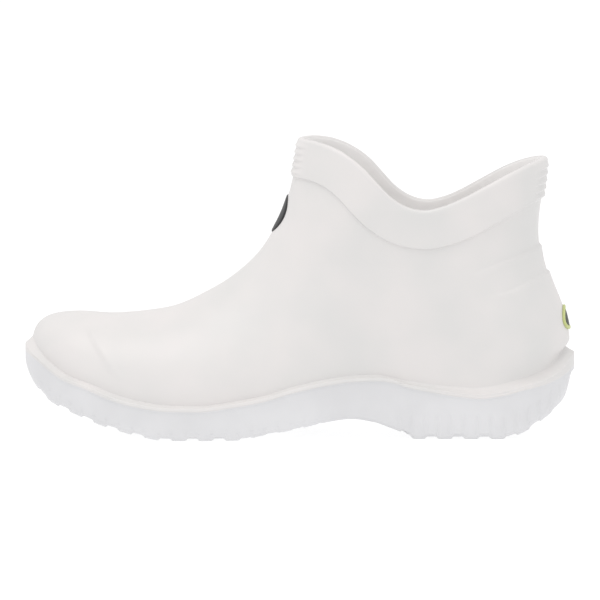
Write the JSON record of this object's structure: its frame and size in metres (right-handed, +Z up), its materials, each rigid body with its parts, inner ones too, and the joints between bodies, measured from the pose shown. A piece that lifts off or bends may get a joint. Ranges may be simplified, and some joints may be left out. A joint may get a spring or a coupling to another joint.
{
  "type": "rubber ankle boot",
  "caption": "Hollow pull-on ankle boot for the left foot: moulded upper with a dipped collar on a cupsole with lugs, with a loose footbed and two plain badges.",
  "frame": {"origin": "on the floor, under the middle of the outsole's footprint box", "axes": "+Z up, -Y towards the toe, +X towards the wearer's outer side"},
  "size_m": [0.1082, 0.3, 0.1622],
  "materials": {
    "outsole": "moulded matt",
    "upper": "moulded satin",
    "insole": "knitted top on foam",
    "front_patch": "matt",
    "heel_badge": "satin",
    "heel_badge_centre": "matt"
  },
  "bodies": {
    "root": {"outsole": "outsole", "upper": "upper", "insole": "insole", "front_patch": "front_patch", "heel_badge": "heel_badge", "heel_badge_centre": "heel_badge_centre"}
  },
  "joints": []
}
